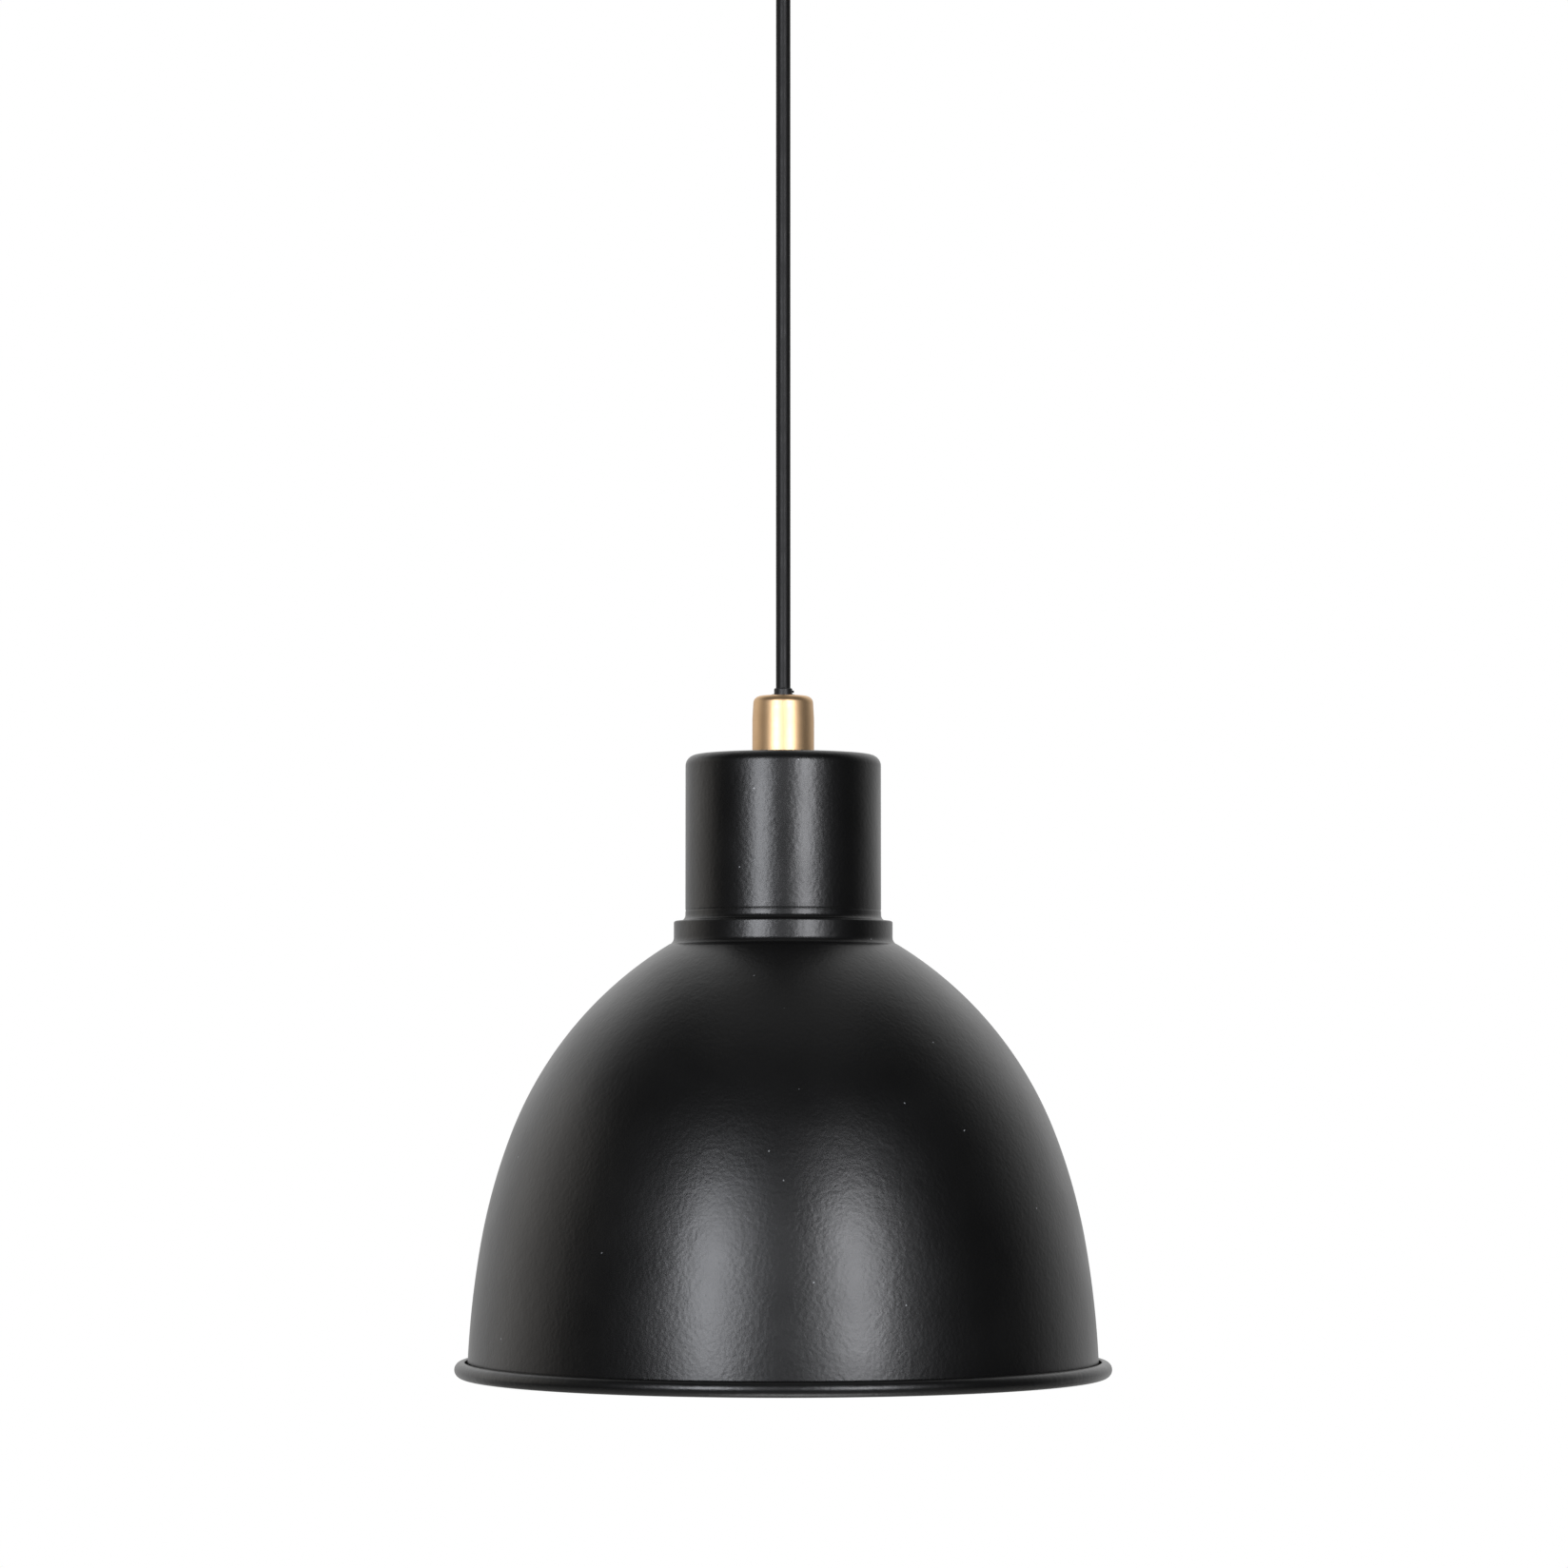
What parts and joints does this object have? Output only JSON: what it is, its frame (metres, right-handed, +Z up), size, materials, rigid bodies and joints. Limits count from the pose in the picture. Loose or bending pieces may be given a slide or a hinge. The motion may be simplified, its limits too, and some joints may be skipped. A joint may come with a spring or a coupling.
{
  "type": "pendant ceiling light",
  "caption": "Dome pendant light: black spun shade with rolled rim, cylindrical neck cap, brass cord grip, round flex and ceiling cup, with a screw-in bulb",
  "frame": {"origin": "centre of the two ceiling screw holes, on the ceiling plane", "axes": "+Z up into the ceiling, the lamp hangs towards -Z; +X through the ceiling screw holes and the cup's side screws"},
  "size_m": [0.25, 0.25, 0.5976],
  "materials": {
    "powder_coat_black": "satin black powder coat on spun steel sheet",
    "cup_black": "satin black powder coat on pressed steel",
    "brass": "satin turned brass",
    "contact_brass": "plain pressed brass",
    "zinc_steel": "zinc plated steel",
    "black_plastic": "moulded black polyamide",
    "black_bakelite": "moulded black phenolic",
    "white_ceramic": "glazed steatite",
    "ivory_nylon": "moulded natural nylon",
    "black_pvc": "extruded black PVC sheath",
    "brown_pvc": "extruded brown PVC core",
    "blue_pvc": "extruded blue PVC core",
    "nickel_plate": "nickel plated brass cap",
    "solder": "tinned solder",
    "bulb_glass": "clear blown glass",
    "filament": "yellow phosphor silicone over LED strip"
  },
  "bodies": {
    "root": {"ceiling_bracket": "zinc_steel", "canopy": "cup_black", "canopy_screws": "cup_black", "ceiling_grip": "black_plastic", "ceiling_grip_nut": "zinc_steel", "ceiling_grip_screw": "black_plastic", "terminal_block": "ivory_nylon", "terminal_clamps": "contact_brass", "terminal_screws": "zinc_steel", "block_screw": "zinc_steel", "supply_cord": "black_pvc", "supply_core_brown": "brown_pvc", "supply_core_blue": "blue_pvc"},
    "cord_top": {"cord_bend_upper": "black_pvc"},
    "hanging_cord": {"cord_bend_lower": "black_pvc", "cord": "black_pvc"},
    "lamp": {"cord_bushing": "black_plastic", "cord_tail": "black_pvc", "brass_grip": "brass", "grip_collet": "ivory_nylon", "threaded_tube": "zinc_steel", "lock_washer": "zinc_steel", "tube_nut": "zinc_steel", "neck_cap": "powder_coat_black", "shade": "powder_coat_black", "holder_cap": "black_bakelite", "holder_grub_screw": "zinc_steel", "holder_insert": "white_ceramic", "holder_clamps": "contact_brass", "holder_clamp_screws": "zinc_steel", "lamp_core_brown": "brown_pvc", "lamp_core_blue": "blue_pvc", "centre_contact": "contact_brass", "screw_contact": "contact_brass", "holder_skirt": "black_bakelite", "shade_ring_upper": "black_bakelite", "shade_ring_lower": "black_bakelite"},
    "bulb_foot": {"bulb_contact": "solder"},
    "bulb": {"bulb_insulator": "black_bakelite", "bulb_cap": "nickel_plate", "bulb_glass": "bulb_glass", "bulb_stem": "bulb_glass", "bulb_supports": "zinc_steel", "bulb_filaments": "filament"}
  },
  "joints": [
    {"name": "swing_front", "type": "hinge", "parent": "root", "child": "cord_top", "pos_m": [0, 0, -0.069], "axis": [1, 0, 0], "range_deg": [-30, 30], "deforming": ["cord_bend_upper"]},
    {"name": "swing_side", "type": "hinge", "parent": "cord_top", "child": "hanging_cord", "pos_m": [0, 0, -0.083], "axis": [0, 1, 0], "range_deg": [-30, 30], "deforming": ["cord_bend_lower"]},
    {"name": "cord_twist", "type": "hinge", "parent": "hanging_cord", "child": "lamp", "pos_m": [0, 0, -0.335], "axis": [0, 0, 1], "range_deg": [-180, 180]},
    {"name": "bulb_travel", "type": "slide", "parent": "lamp", "child": "bulb_foot", "axis": [0, 0, 1], "range_m": [-0.01815, 0]},
    {"name": "bulb_turn", "type": "hinge", "parent": "bulb_foot", "child": "bulb", "pos_m": [0, 0, -0.415], "axis": [0, 0, 1], "range_deg": [-1800, 0]}
  ],
  "couplings": [
    {"joint": "bulb_travel", "follows": "bulb_turn", "m_per_rad": 0.00057757}
  ]
}
